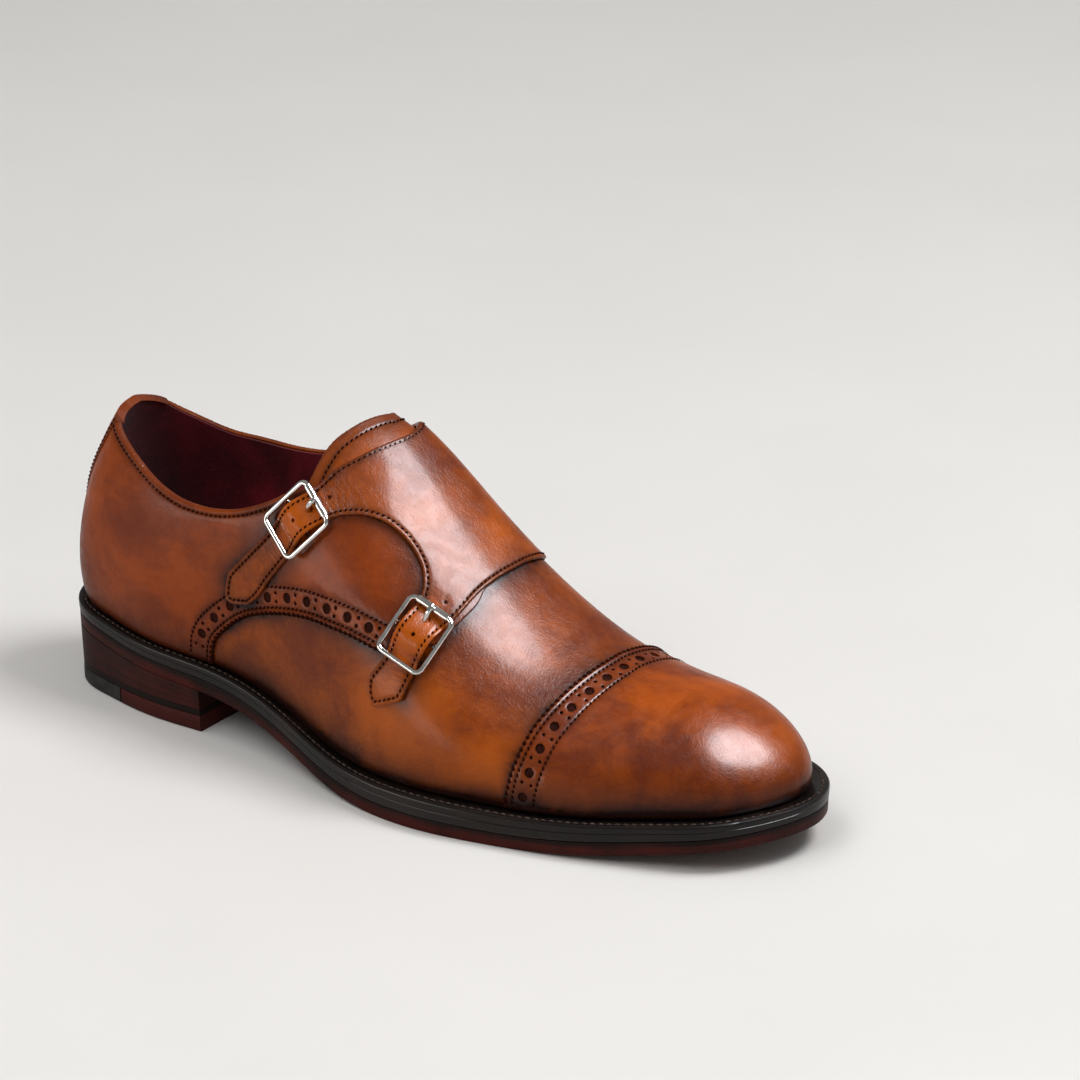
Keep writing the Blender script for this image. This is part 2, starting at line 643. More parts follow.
calf = {
    "light": (0.47, 0.092, 0.002), "mid": (0.135, 0.018, 0.001), "dark": (0.013, 0.0022, 0.001),
    "cloudSize": 24.0, "rimReach": 2.2, "footReach": 8.5, "burnish": 1.0, "rough": 0.40, "coat": 0.13,
    "coatRough": 0.19, "specular": 0.08, "grainSize": 1300.0, "grain": 1.0, "creases": 0.15, "creaseSize": 70.0,
    "bump": 0.8, "wrinkles": 0.0,
}
vampCalf = leatherMaterial("vamp_calf", calf)
quarterCalf = leatherMaterial("quarter_calf", {**calf, "light": (0.35, 0.058, 0.002), "creases": 0.2})
strapCalf = leatherMaterial("strap_calf", {**calf, "creases": 0.16, "creaseSize": 110.0, "wrinkles": 1.0})
capCalf = leatherMaterial("cap_calf", {**calf, "light": (0.44, 0.080, 0.002), "mid": (0.135, 0.017, 0.001),
                                       "footReach": 14.0, "cloudSize": 34.0, "creases": 0.0,
                                       "grain": 0.7, "rough": 0.36, "coat": 0.17, "coatRough": 0.22})
tongueCalf = leatherMaterial("tongue_calf", {**calf, "mid": (0.17, 0.03, 0.003)})
print("leathers mixed")

# where the pieces are cut, as t and psi
collarOuter = drawn([(0, -0.42), (0.75, -0.43), (1.6, -0.465), (2.3, -0.51), (2.95, -0.56), (3.4, -0.59),
                     (3.8, -0.6), (4.15, -0.587), (4.5, -0.545), (4.77, -0.49)])
quarterUnder = drawn([(4.77, -0.49), (4.98, -0.455), (5.2, -0.43), (5.5, -0.33), (5.8, -0.22), (6.3, -0.15),
                      (6.85, -0.15), (7.02, -0.21)])
quarterFront = drawn([(7.02, -0.21), (7.05, -0.27), (7.03, -0.33), (6.98, -0.402), (6.88, -0.49),
                      (6.75, -0.565), (6.6, -0.605), (6.42, -0.646)])
bandOuter = drawn([(6.42, -0.646), (6.17, -0.669), (5.88, -0.694), (5.58, -0.722), (5.28, -0.746),
                   (4.97, -0.773), (4.66, -0.801), (4.34, -0.834), (4.06, -0.88), (3.89, -0.923), (3.81, -1)])
flapTop = drawn([(0, 0.42), (0.85, 0.455), (1.6, 0.505), (2.35, 0.545), (3, 0.56), (3.6, 0.577), (4, 0.573),
                 (4.4, 0.54), (4.75, 0.475), (5.05, 0.39), (5.35, 0.27), (5.52, 0.15), (5.63, 0),
                 (5.59, -0.12), (5.42, -0.26), (5.25, -0.35), (5.14, -0.416), (4.872, -0.516),
                 (4.605, -0.616), (4.36, -0.685), (4.139, -0.739)])
rearTip = np.vstack([drawn([(4.139, -0.739), (4.112, -0.766), (4.109, -0.8)])[:-1],
                     drawn([(4.109, -0.8), (4.18, -0.808), (4.43, -0.799)])])
rearTail = drawn([(4.43, -0.799), (4.56, -0.771), (4.7, -0.723), (4.88, -0.66), (5.148, -0.56), (5.36, -0.483),
                  (5.46, -0.455), (5.6, -0.42), (5.73, -0.39), (5.95, -0.35), (6.18, -0.332), (6.39, -0.344),
                  (6.49, -0.375), (6.535, -0.42), (6.461, -0.542), (6.35, -0.661), (6.198, -0.744)])
frontTip = np.vstack([drawn([(6.198, -0.744), (6.21, -0.779), (6.286, -0.812)])[:-1],
                      drawn([(6.286, -0.812), (6.48, -0.778), (6.655, -0.742)])])
flapFront = drawn([(6.655, -0.742), (6.7, -0.7), (6.76, -0.62), (6.839, -0.518), (6.93, -0.41), (6.97, -0.34),
                   (7.0, -0.232), (7.03, -0.139), (7.06, 0), (7.05, 0.13), (6.97, 0.28), (6.8, 0.42),
                   (6.6, 0.51)])
bandInner = drawn([(6.6, 0.51), (6.2, 0.56), (5.7, 0.61), (5.2, 0.68), (4.7, 0.77), (4.2, 0.87), (3.95, 0.93),
                   (3.85, 1)])
capRear = drawn([(8.07, -1), (8.12, -0.868), (8.18, -0.734), (8.25, -0.582), (8.36, -0.412), (8.49, -0.216),
                 (8.6, 0), (8.58, 0.2), (8.5, 0.4), (8.42, 0.6), (8.36, 0.8), (8.34, 1)])
tongueTop = drawn([(4.86, -0.53), (4.936, -0.445), (5.045, -0.284), (5.176, -0.164), (5.28, -0.04),
                   (5.32, 0.04), (5.26, 0.15), (5.13, 0.27), (4.95, 0.38), (4.75, 0.44)])
collarSpots = np.vstack([dense(collarOuter), dense(flapTop[flapTop[:, 1] > -0.33])])


def nearCollar(t, psi):
    return smooth(4.5, 2.0, near(lastPoint(t, psi), collarSpots))


# the middle, the way along the strap to its tip, mm up to the frame, and how far its wrinkles reach in mm
buckles = [
    {"name": "rear", "t": 5.01, "psi": -0.538, "away": (-0.434, -0.162), "lift": 3.7, "worn": 34},
    {"name": "front", "t": 6.65, "psi": -0.53, "away": (-0.19, -0.225), "lift": 3.2, "worn": 24},
]
for b in buckles:
    spot = np.array([[b["t"], b["psi"]]])
    b["centre"] = lastPoint(*spot.T)[0]
    normal = lastSlopes(*spot.T)[2][0]
    e = 0.02  # a small step along the last
    slopeT = (lastPoint(b["t"] + e, b["psi"]) - lastPoint(b["t"] - e, b["psi"])) / (2 * e)
    slopePsi = (lastPoint(b["t"], b["psi"] + e) - lastPoint(b["t"], b["psi"] - e)) / (2 * e)
    u = slopeT * b["away"][0] + slopePsi * b["away"][1]
    u = unit(u - normal * dot(u, normal))
    b["u"], b["v"], b["normal"] = u, np.cross(normal, u), normal
    b["toPlane"] = np.array([[dot(slopeT, u), dot(slopePsi, u)], [dot(slopeT, b["v"]), dot(slopePsi, b["v"])]])


def onStrap(b, x, y):
    # t, psi of a place x along the strap and y across it, in mm from the buckle's middle
    step = np.linalg.solve(b["toPlane"], np.array([x, y], float))
    return b["t"] + step[0], b["psi"] + step[1]


def overBuckle(b, x, y, up):
    return b["centre"] + b["u"] * x + b["v"] * y + b["normal"] * up


strap = {"bulge": 3.5, "bulgeHalf": 11, "overLift": 0.85, "archLift": 1.1, "archAt": (6.0, -0.36),
         "archWide": (0.5, 0.07)}


def offBuckle(b, t, psi):
    # mm along and across the strap from the buckle's middle
    return b["toPlane"] @ np.stack([t - b["t"], psi - b["psi"]])


def strapRise(t, psi):
    rise = np.zeros(len(t))
    for b in buckles:
        x, y = offBuckle(b, t, psi)
        here = (np.abs(y) < 11) & (np.abs(x) < strap["bulgeHalf"])
        bulge = strap["bulge"] * np.cos(np.pi * x / (2 * strap["bulgeHalf"])) ** 2
        rise = np.where(here, np.maximum(rise, bulge), rise)
    return rise


def rubbed(t, psi):
    # where the straps are polished inside the buckles
    most = np.zeros(len(t))
    for b in buckles:
        x, y = offBuckle(b, t, psi)
        most = np.maximum(most, smooth(9.0, 4.5, np.abs(x + 1.5)) * smooth(8.0, 5.5, np.abs(y)))
    return most


def strapPlace(t, psi):
    # mm along and across the nearer strap, and how wrinkled it is there
    best, along, across, worn = np.full(len(t), 1e9), *np.zeros((3, len(t)))
    for b in buckles:
        x, y = offBuckle(b, t, psi)
        far = x ** 2 + y ** 2
        best, along, across = np.where(far < best, [far, x, y], [best, along, across])
        x, y = np.abs(x), np.abs(y)
        worn = np.maximum(worn, smooth(b["worn"], 10, x) * smooth(8, 11, x) * smooth(13, 8, y))
    return {"along": along, "across": across, "worn": worn}


def heelDrop(t):
    # the quarters lie lower at the back, behind the vamp
    return 0.5 * smooth(3.4, 2.2, t)


def flapBase(t, psi):
    # the flap leaves the vamp on the inner side and climbs over the outer quarter and the tongue
    over = smooth(0.45, 0.05, psi) * smooth(4.5, 5.1, t)
    over = np.maximum(over, smooth(-0.05, -0.3, psi))
    (midT, midPsi), (wideT, widePsi) = strap["archAt"], strap["archWide"]
    arch = strap["archLift"] * np.exp(-((t - midT) / wideT) ** 2 - ((psi - midPsi) / widePsi) ** 2)
    drop = heelDrop(t) * smooth(0.0, 0.1, psi)
    return strap["overLift"] * over + np.maximum(strapRise(t, psi), arch) - drop


sunk = {"seam": 0.32, "seamWide": 0.42, "hole": 0.12, "holeWide": 0.35}


def edgeShape(rim, seam, hole, roundness=0.5, bead=0.0):
    # a rounded edge, pulled down along the seams and round the holes
    drop = roundness - np.sqrt(np.maximum(0, roundness ** 2 - (roundness - np.minimum(rim, roundness)) ** 2))
    return (-drop + bead * hump(rim - 1.0, 0.7) - sunk["seam"] * hump(seam, sunk["seamWide"])
            - sunk["hole"] * hump(np.maximum(hole, 0), sunk["holeWide"]))


def gimpedEdge(rim, high):
    # a raised welt between the two rows beside a band's cut edge
    return high * hump(rim - 0.95, 0.55)


# sewing
sewing = {"pitch": 2.0, "long": 1.45, "thick": 0.4, "slant": 0.28}
gimping = {"pitch": 2.3, "long": 2.1, "thick": 0.95, "slant": 0.1}
weltSewing = {"pitch": 2.9, "long": 2.3, "thick": 0.36, "slant": 0.0}
overlay = {"gap": 0.08, "sewnDeep": 0.14, "gimp": 0.3}  # mm under a piece, to its stitches, to its gimps


def inset(runs, distance, side=1):
    # a sewing line a set way inside an edge, kept clear of its corners
    line = evenly(np.vstack(runs), 0.5)
    far = np.interp(np.linspace(0, 1, len(line)), np.linspace(0, 1, np.size(distance)), np.ravel(distance))
    row = beside(line, side * far[:, None])
    ok = near(lastPoint(*row.T), dense(line)) > 0.93 * far
    return evenly(row[ok], 0.5)


def sewn(name, rows, material, look):
    # each row is a pair: points on the leather, and the way out of it
    sides, points, faces = 6, [], []
    shape = np.array([(0.35, -0.9), (0.85, 0.15), (1.0, 0.45), (0.85, 0.15), (0.35, -0.9)]) * look["thick"]
    turns = np.arange(sides) * 2 * np.pi / sides
    for path, out in rows:
        far = lengthAlong(path)
        n = max(1, round(far[-1] / look["pitch"]))
        for a in (np.arange(n) + 0.5) * far[-1] / n:
            at = a + np.linspace(-0.5, 0.5, 5) * look["long"]
            c = np.stack([np.interp(at, far, path[:, i]) for i in range(3)], 1)
            o = np.stack([np.interp(a, far, out[:, i]) for i in range(3)])
            across = np.cross(o, unit(c[-1] - c[0]))
            c += np.outer(np.linspace(-1, 1, 5) * look["slant"], across)
            start = len(points)
            for spot, (wide, up) in zip(c, shape):
                points += [spot + o * up + wide * (across * np.cos(turn) + o * np.sin(turn)) for turn in turns]
            for p in range(start, start + 4 * sides):
                q = p + 1 if (p - start) % sides < sides - 1 else p + 1 - sides
                faces.append((p, p + sides, q + sides, q))
            faces.append(tuple(range(start, start + sides)))
            faces.append(tuple(reversed(range(start + 4 * sides, start + 5 * sides))))
    piece = makePiece(name, points, faces, material, crease=80)
    print(name, len(faces) // 26, "stitches")
    return piece


def sewnOn(name, lines, lift, look=sewing):
    lines = [evenly(line, 0.4) for line in lines]
    rows = [(onLast(line, valueOf(lift, *line.T)), lastSlopes(*line.T)[2]) for line in lines]
    return sewn(name, rows, thread, look)


def punched(line, look, shift=0.0):
    # a row of large holes with a pair of small ones between each two
    holes = []
    far = lengthAlong(lastPoint(*line.T))
    at = look["start"] - look["pitch"]
    while at < far[-1] - 2:
        if at > 3:
            spot = np.array([[np.interp(at, far, line[:, k]) for k in (0, 1)]])
            holes.append((*spot[0], look["hole"]))
        half = at + look["pitch"] / 2
        if 2.5 < half < far[-1] - 2:
            i = np.clip(np.searchsorted(far, half), 1, len(line) - 2)
            for way in (-look["apart"], look["apart"]):
                holes.append((*beside(line[i - 1:i + 2], way + shift)[1], look["smallHole"]))
        at += look["pitch"]
    return holes


def threadMaterial(name, light, dark):
    material, w, shader = newMaterial(name, 0.85, specular=0.0)
    twist = w.noise(w.place(), 1800, 2, 0.6)
    w.link(w.mix(w.span(twist, 0.35, 0.65), dark, light), shader.inputs["Base Color"])
    bump(w, shader, twist, 0.4, 0.0001)
    return material


backingLeather = threadMaterial("hole_backing", (0.045, 0.014, 0.01), (0.02, 0.007, 0.005))
thread = threadMaterial("brown_thread", (0.034, 0.008, 0.004), (0.013, 0.003, 0.002))
weltThread = threadMaterial("welt_thread", (0.13, 0.09, 0.075), (0.03, 0.02, 0.016))


def feather(side, start, end):
    # a run along the feather line, on the outer side at -1 and the inner at 1
    return evenly(np.linspace((start, side), (end, side), 400), 0.9)


# vamp
vampLook = {"thick": 1.1, "underCap": 5}
vampTop = drawn([(3.3, 1), (3.6, 0.82), (4.4, 0.64), (5.2, 0.5), (6.0, 0.36), (6.5, 0.2), (6.6, 0),
                 (6.5, -0.25), (6.2, -0.42), (5.5, -0.55), (4.5, -0.68), (3.8, -0.77), (3.4, -0.85),
                 (3.2, -1)])
vampFront = beside(capRear, -vampLook["underCap"])
vampFront[0, 1], vampFront[-1, 1] = -1, 1
vamp = Panel([vampFront, feather(1, vampFront[-1, 0], 3.3), vampTop, feather(-1, 3.2, vampFront[0, 0])],
             shadeLines=[capRear, bandOuter, bandInner, quarterFront, flapFront])
vampPiece = vamp.build("vamp", vampCalf, 0, -vampLook["thick"])  # its face is the last itself
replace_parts(vampPiece, "upper")


def backing(name, line, side, nearer, further):
    # a dark strip that shows through the punched holes
    a, b = beside(line, side * nearer), beside(line, side * further)
    strip = Panel([a, drawn([a[-1], b[-1]]), b[::-1], drawn([b[0], a[0]])], rows=(0.5, 1.5))
    return strip.build(name, backingLeather, 0.06, 0.01)


# toe cap
capLook = {"thick": 0.95, "start": 5.5, "hole": 1.75, "smallHole": 0.62, "pitch": 8.8, "apart": 1.7,
           "holesIn": 5.7, "row": 2.0, "frontRow": 9.8}
capHoles = punched(beside(capRear, -capLook["holesIn"]), capLook, -0.3)
capSeams = [beside(capRear, -capLook[row]) for row in ("row", "frontRow")]
cap = Panel([capRear, feather(-1, 2 * toe - 8.34, 8.07)], seams=capSeams, holes=capHoles, steps=(0.05, 0.018))
backing("toe_cap_backing", capRear[3:-3], -1, 3.4, 8.2)
capPiece = cap.build("toe_cap_leather", capCalf,
                     lambda t, psi, *edge: capLook["thick"] + edgeShape(*edge, 0.4) + gimpedEdge(edge[0], 0.28),
                     overlay["gap"])
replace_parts(capPiece, "toe_cap")
sewnOn("toe_cap_stitching", capSeams, capLook["thick"] - overlay["sewnDeep"])
sewnOn("toe_cap_gimping", [beside(capRear, -0.1)], overlay["gimp"], gimping)

# outer quarter
quarterLook = {"thick": 0.85, "collarDeep": 1.1, "collarBead": 0.3, "collarRow": 2.4, "row": 1.9,
               "upperRow": 9.2, "hole": 1.9, "smallHole": 0.74, "pitch": 9.6, "apart": 1.5, "holesIn": 5.5,
               "start": 12.2}


def collarBead(rim, edge):
    return quarterLook["collarBead"] * hump(rim - 1.2, 0.8) * edge


def quarterTop(t, psi, rim, seam, hole):
    edge = nearCollar(t, psi)
    band = smooth(2.5, 1.5, near(lastPoint(t, psi), bandOuterSpots))
    return (quarterLook["thick"] - heelDrop(t) + edgeShape(rim, seam, hole, 0.5 + 0.5 * edge)
            + gimpedEdge(rim, 0.36) * band + collarBead(rim, edge))


outerHoles = punched(beside(bandOuter, -quarterLook["holesIn"]), quarterLook)
outerSeams = [beside(bandOuter, -quarterLook[row])[4:] for row in ("row", "upperRow")]
bandOuterSpots = dense(bandOuter)
collarSeam = beside(collarOuter, -quarterLook["collarRow"])[2:]
outerQuarter = Panel([collarOuter, quarterUnder, quarterFront, bandOuter, feather(-1, 3.81, 0),
                      drawn([(0, -1), (0, -0.42)])],
                     seams=[*outerSeams, collarSeam], holes=outerHoles,
                     shadeLines=[rearTail, flapTop[flapTop[:, 1] < -0.4], rearTip, frontTip])
backing("outer_band_backing", bandOuter[6:-3], -1, 3.4, 7.8)
outerQuarter.build("outer_quarter", quarterCalf, quarterTop,
                   lambda t, psi: (overlay["gap"] - heelDrop(t)
                                   - quarterLook["collarDeep"] * nearCollar(t, psi)))
sewnOn("outer_quarter_stitching", [*outerSeams, collarSeam],
       lambda t, psi: quarterLook["thick"] - overlay["sewnDeep"] - heelDrop(t))
sewnOn("outer_band_gimping", [beside(bandOuter, -0.1)[4:]],
       lambda t, psi: overlay["gimp"] - heelDrop(t), look=gimping)

# inner quarter with the flap and both straps
flapLook = {"thick": 1.1, "row": 1.5, "collarRow": 2.4, "bead": 0.22, "holesAt": (0.3, -15), "hole": 0.75,
            "prongAt": -6.3, "prongHole": 1.0}
edgeRow = [flapTop, rearTip, rearTail, frontTip, flapFront]
edgeLine = evenly(np.vstack(edgeRow), 0.5)
split = int(np.argmax(edgeLine[:, 0] > 5.2))
ease = smooth(split - 90, split, np.arange(len(edgeLine)))
flapSeam = inset(edgeRow, flapLook["collarRow"] + (flapLook["row"] - flapLook["collarRow"]) * ease)
innerHoles = punched(beside(bandInner, quarterLook["holesIn"]), {**quarterLook, "start": 7.0})
innerSeams = [beside(bandInner, quarterLook[row]) for row in ("row", "upperRow")]
strapHoles = [(*onStrap(b, x, 0), flapLook["hole"]) for b in buckles for x in flapLook["holesAt"]]
prongHoles = [(*onStrap(b, flapLook["prongAt"], 0), flapLook["prongHole"]) for b in buckles]


def flapTopLift(t, psi, rim, seam, hole):
    edge = nearCollar(t, psi)
    return (flapLook["thick"] + flapBase(t, psi) + edgeShape(rim, seam, hole, 0.4 + 0.6 * edge)
            + flapLook["bead"] * hump(rim - 0.7, 0.5) * (1 - edge) + collarBead(rim, edge))


innerQuarter = Panel([*edgeRow, bandInner, feather(1, 3.85, 0), drawn([(0, 1), (0, 0.42)])],
                     seams=[flapSeam, *innerSeams], holes=[*innerHoles, *strapHoles, *prongHoles])
backing("inner_band_backing", bandInner[8:-3], 1, 3.4, 7.8)
innerPiece = innerQuarter.build("inner_quarter_and_straps", strapCalf, flapTopLift,
                                lambda t, psi: (overlay["gap"] + flapBase(t, psi)
                                                - quarterLook["collarDeep"] * nearCollar(t, psi)))
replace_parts(innerPiece, "strap_flap")
sewnOn("strap_stitching", [flapSeam, *innerSeams],
       lambda t, psi: flapLook["thick"] - overlay["sewnDeep"] + flapBase(t, psi))
sewnOn("inner_band_gimping", [beside(bandInner, 0.1)[4:]],
       lambda t, psi: overlay["gimp"] + flapBase(t, psi), look=gimping)

# tongue
tongueLook = {"lift": -1.35, "thick": 2.2, "row": 4.6, "sewnDeep": 0.12}
tongueSeam = inset([tongueTop], tongueLook["row"], -1)
tongue = Panel([tongueTop, drawn([(4.75, 0.44), (5.6, 0.42), (6.3, 0.34), (6.9, 0.26)]),
                drawn([(6.9, 0.26), (6.9, 0), (6.9, -0.26)]),
                drawn([(6.9, -0.26), (6.3, -0.36), (5.6, -0.47), (4.86, -0.53)])], seams=[tongueSeam])
tonguePiece = tongue.build("tongue_leather", tongueCalf,
                           lambda t, psi, *edge: tongueLook["lift"] + edgeShape(*edge, 0.9, 0.12),
                           tongueLook["lift"] - tongueLook["thick"])
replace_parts(tonguePiece, "tongue")
sewnOn("tongue_stitching", [tongueSeam], tongueLook["lift"] - tongueLook["sewnDeep"])

# back strip
stripLook = {"thick": 0.55, "under": 0.4, "over": 0.1, "row": 1.1, "sewnDeep": 0.12, "closeDown": 2.9}
stripTop = np.vstack([collarOuter[collarOuter[:, 0] < 1.24][::-1], flapTop[flapTop[:, 0] < 1.1] * [-1, -1]])
stripTop = evenly(beside(stripTop, -stripLook["over"]), 0.8)
stripOuter = drawn([stripTop[0], (1.12, -0.52), (0.86, -0.62), (0.55, -0.75), (0.38, -0.88), (0.33, -1)])
stripInner = drawn([(-0.33, -1), (-0.38, -0.88), (-0.55, -0.75), (-0.84, -0.62), (-1.05, -0.52), stripTop[-1]])
stripSeams = [inset([line], stripLook["row"], -1) for line in (stripOuter, stripInner)]
backStrip = Panel([stripTop, stripInner[::-1], feather(-1, -0.33, 0.33), stripOuter[::-1]], seams=stripSeams)


def stripBottom(t, psi):
    # it closes over the collar's thickness at the top
    closing = smooth(0.9, 0.3, near(lastPoint(t, psi), dense(stripTop)))
    return stripLook["under"] - stripLook["closeDown"] * closing


stripHigh = stripLook["under"] + stripLook["thick"]
backStrip.build("back_strip", quarterCalf,
                lambda t, psi, *edge: stripHigh + edgeShape(*edge), stripBottom)
sewnOn("back_strip_stitching", stripSeams, stripHigh - stripLook["sewnDeep"])
print("upper sewn")

# lining
liningLook = {"top": -1.2, "bottom": -1.95, "below": 0.5, "colour": (0.16, 0.007, 0.014),
              "deep": (0.06, 0.003, 0.006), "fluffColour": (0.2, 0.02, 0.03), "fluff": 0.6}


def liningMaterial():
    material, w, shader = newMaterial("burgundy_lining", 0.85, sheen=0.06, specular=0.12)
    shader.inputs["Sheen Roughness"].default_value = 0.5
    nap = w.noise(w.place(), 900, 4, 0.65)
    worn = w.noise(w.place(), 40, 3, 0.5, 0.5)
    colour = w.mix(w.span(worn, 0.35, 0.65), liningLook["deep"], liningLook["colour"])
    colour = w.mix(w.times(w.span(nap, 0.5, 0.7), 0.3), colour, liningLook["fluffColour"])
    w.link(colour, shader.inputs["Base Color"])
    bump(w, shader, nap, liningLook["fluff"], 0.0003)
    return material


lining = liningMaterial()
opening = drawn([*[tuple(q) for q in collarOuter[::6]], (5.0, -0.42), (5.45, -0.33), (5.85, -0.17), (5.97, 0),
                 (5.88, 0.15), (5.6, 0.27), (5.2, 0.36), (4.75, 0.475)])
openBack = flapTop[(flapTop[:, 0] < 4.7) & (flapTop[:, 1] > 0)][::-1]
liningPanel = Panel([feather(-1, 0, toe), feather(1, toe, 0)],
                    cutouts=[[beside(opening, -liningLook["below"]), beside(openBack, -liningLook["below"])]],
                    steps=(0.1, 0.035), rows=(0.3, 0.8, 1.6))
liningPanel.build("lining", lining,
                  lambda t, psi, *edge: liningLook["top"] + edgeShape(*edge, 0.3), liningLook["bottom"])
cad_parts["insole"].data.materials.clear()
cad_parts["insole"].data.materials.append(lining)

# sole and heel
soleLook = {"thick": 5.0, "gap": 0.1, "seat": 0.3, "breast": 72, "topPiece": 6.0, "rubber": 33}


def rimPoint(ring, margin):
    # the sole's outline, a set way outside the feather line
    e = 0.002
    tx, ty = featherX(ring + e) - featherX(ring - e), featherY(ring + e) - featherY(ring - e)
    size = np.hypot(tx, ty)
    return featherX(ring) + ty / size * margin, featherY(ring) - tx / size * margin


def weltOut(ring):
    x = featherX(ring)
    return np.interp(x, *np.array(weltMargin, float).T)


def ringAt(x, low, high):
    # where the outline crosses x
    for _ in range(40):
        half = (low + high) / 2
        if rimPoint(half, weltOut(half))[0] < x:
            low = half
        else:
            high = half
    return low


def soleSlab(name, start, end, profile, material, crease=35):
    # a layer of the sole: its edge profile runs up the outside, and the faces close across it
    whole = end >= toeEnd
    if whole:
        outer = np.r_[0, 0.05, 0.15, np.arange(0.3, 11.75, 0.09), 11.85, 11.95, toe]
        inner = 2 * toe - outer
    else:
        u = np.linspace(0, 1, 46)
        outer, inner = ((ringAt(start, a, b) if start > 0 else a) * (1 - u) + ringAt(end, a, b) * u
                        for a, b in ((0, 4.5), (2 * toe, 19.5)))
    points, level, faces, index = [], [], [], []
    for k, rings in enumerate(zip(outer, inner)):
        tip = (k == 0 and start <= 0) or (k == len(outer) - 1 and whole)
        pair = []
        for ring in rings[:1] if tip else rings:
            first = len(points)
            for inward, high in profile:
                x, y = rimPoint(ring, weltOut(ring) - inward)
                x = max(float(x), start) if start > 0 else float(x)
                x = x if whole else min(x, end)
                z = float(valueOf(high, x))
                points.append((x - middle[0], float(y) - middle[1], z))
                level.append(z - float(soleZ(x)))
            pair.append(range(first, len(points)))
        index.append((pair[0], pair[-1]))
    steps = range(len(profile) - 1)
    for (o0, n0), (o1, n1) in zip(index, index[1:]):
        for j in steps:
            faces += [(o0[j], o1[j], o1[j + 1], o0[j + 1]), (n1[j], n0[j], n0[j + 1], n1[j + 1])]
        faces += [(o0[-1], o1[-1], n1[-1], n0[-1]), (o1[0], o0[0], n0[0], n1[0])]
    for (o, n), way in ((index[0], 1), (index[-1], -1)):
        if o is not n:
            faces += [(n[j], o[j], o[j + 1], n[j + 1])[::way] for j in steps]
    faces = [f for f in (tuple(dict.fromkeys(f)) for f in faces) if len(f) > 2]
    p = np.array(points)
    volume = sum(dot(p[f[0]], np.cross(p[f[i]], p[f[i + 1]])) for f in faces for i in range(1, len(f) - 1))
    if volume < 0:
        faces = [f[::-1] for f in faces]
    piece = makePiece(name, points, faces, material, {"level": level}, crease)
    print(name, len(faces), "faces")
    return piece


def edgeMaterial(name, dark, light, rough, balance, coat=0.1, fine=9.0, darkBelow=0.0):
    material, w, shader = newMaterial(name, rough, coat=coat, coatRough=0.14, specular=0.06)
    streaks = placeGroup(w, edgeStreaks, {"Dark": dark, "Light": light, "Level": w.attribute("level"),
                                          "Balance": balance, "Fine": fine, "Dark Below": darkBelow})
    w.link(streaks["Color"], shader.inputs["Base Color"])
    w.link(w.span(streaks["Height"], 0.3, 0.7, rough - 0.08, rough + 0.12), shader.inputs["Roughness"])
    bump(w, shader, streaks["Height"], 0.25, 0.0003)
    return material


blackEdge = edgeMaterial("black_welt_edge", (0.0055, 0.0035, 0.0028), (0.022, 0.010, 0.007), 0.36, 0.42,
                         coat=0.3, fine=16.0)
oxbloodEdge = edgeMaterial("oxblood_sole_edge", (0.007, 0.003, 0.002), (0.07, 0.010, 0.007), 0.5, 0.47,
                           coat=0.04, fine=8.0)
heelEdge = edgeMaterial("heel_lifts_edge", (0.010, 0.0045, 0.0035), (0.062, 0.010, 0.007), 0.5, 0.52,
                        coat=0.04, fine=5.0, darkBelow=0.0088)
redLift = edgeMaterial("bottom_lift_edge", (0.014, 0.004, 0.003), (0.06, 0.010, 0.008), 0.5, 0.42,
                       coat=0.04, fine=7.0)


def rubberMaterial():
    material, w, shader = newMaterial("black_rubber", 0.6, specular=0.2)
    dust = w.span(w.noise(w.place(), 160, 4, 0.6), 0.4, 0.75)
    w.link(w.mix(dust, (0.008, 0.008, 0.008), (0.028, 0.027, 0.026)), shader.inputs["Base Color"])
    bump(w, shader, w.noise(w.place(), 1400, 2, 0.5), 0.3, 0.0002)
    return material


rubber = rubberMaterial()


def fromSole(up):
    return lambda x: soleZ(x) + up


def between(u):
    # part way up the welt and midsole
    def high(x):
        return (soleZ(x) + soleLook["thick"] + soleLook["gap"]) * (1 - u) + (seatZ(x) - soleLook["seat"]) * u
    return high


def wholeSlab(name, profile, material, toHeight):
    # a slab from heel to toe; toHeight turns the profile's second numbers into heights
    return soleSlab(name, 0, toeEnd, [(inward, toHeight(high)) for inward, high in profile], material)


outsoleProfile = [(9, 0), (1.0, 0), (0.65, 0.15), (0.5, 0.5), (0.45, 2.0), (0.4, 3.4), (0.4, 4.5), (0.5, 4.85),
                  (0.8, 5), (9, 5)]
midsoleProfile = [(9, 0), (0.5, 0), (0.25, 0.05), (0.18, 0.16), (0.14, 0.30), (0.1, 0.48), (0.22, 0.507),
                  (9, 0.507)]
weltProfile = [(9, 0.513), (0.22, 0.513), (0.06, 0.53), (0.0, 0.66), (0.05, 0.84), (0.3, 0.94), (0.8, 1.0),
               (1.5, 1.0), (1.9, 0.985), (2.35, 0.93), (2.8, 0.97), (3.4, 0.95), (4.2, 0.89), (12, 0.87)]
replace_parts(wholeSlab("outsole_leather", outsoleProfile, oxbloodEdge, fromSole), "outsole")
wholeSlab("midsole", midsoleProfile, blackEdge, between)
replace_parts(wholeSlab("welt_strip", weltProfile, blackEdge, between), "welt")


stackLook = {"under": 0.03, "lifts": 4, "taper": 0.7}


